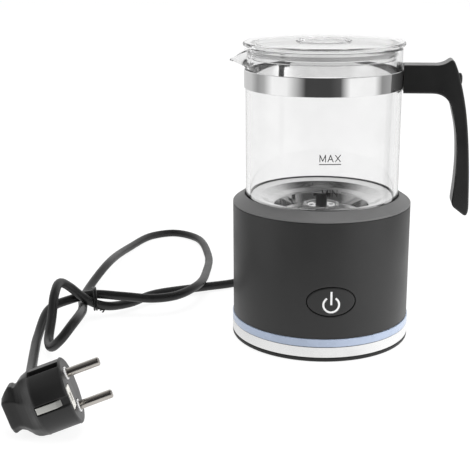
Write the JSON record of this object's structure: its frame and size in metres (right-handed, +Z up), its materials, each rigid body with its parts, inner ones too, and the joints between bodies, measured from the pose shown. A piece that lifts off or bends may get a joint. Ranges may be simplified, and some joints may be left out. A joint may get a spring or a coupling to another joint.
{
  "type": "milk frother",
  "caption": "Electric milk frother: round power base with a lit ring and one oval button, lift-off glass jug with spout, handle, lid and magnetic whisk, and a mains lead with plug.",
  "frame": {"origin": "middle of the underside of the base's non-slip pad, on the surface it stands on", "axes": "+Z up along the jug's axis, -Y towards the power button, +X to the right as seen from the button. The jug stands turned 9 degrees on the base, so its handle points to +X turned 9 degrees towards -Y"},
  "size_m": [0.283, 0.3961, 0.1931],
  "materials": {
    "black_shell": "satin, very slightly pebbled",
    "cover_plastic": "matt",
    "collar_plastic": "fine matt grain",
    "light_diffuser": "translucent, lilac-blue",
    "brushed_trim": "finely brushed",
    "foot_rubber": "matt",
    "zinc_screws": "zinc plated",
    "plate_metal": "turned",
    "clear_silicone": "translucent",
    "element_metal": "dull",
    "bracket_plastic": "matt",
    "circuit_board": "solder mask",
    "component_plastic": "glossy",
    "pale_plastic": "satin",
    "lead_rubber": "satin",
    "symbol_white": "satin",
    "shaft_steel": "ground",
    "clear_glass": "clear, polished",
    "polished_steel": "mirror polished",
    "black_gloss": "satin gloss",
    "clear_plastic": "clear, polished",
    "plug_plastic": "satin",
    "plug_metal": "nickel plated"
  },
  "bodies": {
    "base": {"base_housing": "black_shell", "top_collar": "collar_plastic", "light_ring": "light_diffuser", "silver_ring": "brushed_trim", "bottom_cover": "cover_plastic", "non_slip_pad": "foot_rubber", "cover_screw_1": "zinc_screws", "cover_screw_2": "zinc_screws", "cover_screw_3": "zinc_screws", "heater_plate": "plate_metal", "heater_gasket": "clear_silicone", "heating_element": "element_metal", "thermostat": "cover_plastic", "motor": "element_metal", "motor_bracket": "bracket_plastic", "control_board": "circuit_board", "relay": "component_plastic", "capacitor": "component_plastic", "switch_board": "circuit_board", "tactile_switch": "component_plastic", "led_board": "circuit_board", "strain_relief": "lead_rubber", "cord_clamp": "pale_plastic", "cord": "lead_rubber", "cord_tie": "black_gloss", "plug_body": "plug_plastic", "plug_face_insert": "pale_plastic", "plug_pin_1": "plug_metal", "plug_pin_2": "plug_metal", "pin_collar_1": "pale_plastic", "pin_collar_2": "pale_plastic", "earth_clip_1": "plug_metal", "earth_clip_2": "plug_metal", "plug_relief": "lead_rubber"},
    "button": {"power_button": "black_shell", "power_symbol_ring": "symbol_white", "power_symbol_bar": "symbol_white"},
    "rotor": {"motor_shaft": "shaft_steel", "magnet_rotor": "bracket_plastic", "drive_magnet_1": "element_metal", "drive_magnet_2": "element_metal", "drive_magnet_3": "element_metal", "drive_magnet_4": "element_metal"},
    "jug": {"jug_glass": "clear_glass", "jug_base_cup": "polished_steel", "jug_seal": "clear_silicone", "whisk_pin": "polished_steel", "steel_band": "polished_steel", "handle": "black_gloss", "handle_screw": "zinc_screws", "screw_cap": "black_gloss"},
    "lid": {"lid": "clear_plastic", "lid_seal": "clear_silicone"},
    "whisk": {"whisk_hub": "black_gloss", "whisk_magnet": "element_metal", "whisk_disc": "polished_steel", "whisk_coil": "polished_steel"}
  },
  "joints": [
    {"name": "jug_lift", "type": "slide", "parent": "base", "child": "jug", "axis": [0, 0, 1], "range_m": [0, 0.12]},
    {"name": "lid_lift", "type": "slide", "parent": "jug", "child": "lid", "axis": [0, 0, 1], "range_m": [0, 0.06]},
    {"name": "whisk_spin", "type": "hinge", "parent": "jug", "child": "whisk", "pos_m": [0, 0, 0.087], "axis": [0, 0, 1], "continuous": true},
    {"name": "rotor_spin", "type": "hinge", "parent": "base", "child": "rotor", "pos_m": [0, 0, 0.069], "axis": [0, 0, 1], "continuous": true},
    {"name": "button_press", "type": "slide", "parent": "base", "child": "button", "axis": [0, 1, 0], "range_m": [0, 0.0011], "stiffness_N_per_m": 1500, "springref_m": -0.0004}
  ],
  "couplings": [
    {"joint": "whisk_spin", "follows": "rotor_spin", "ratio": 1}
  ]
}
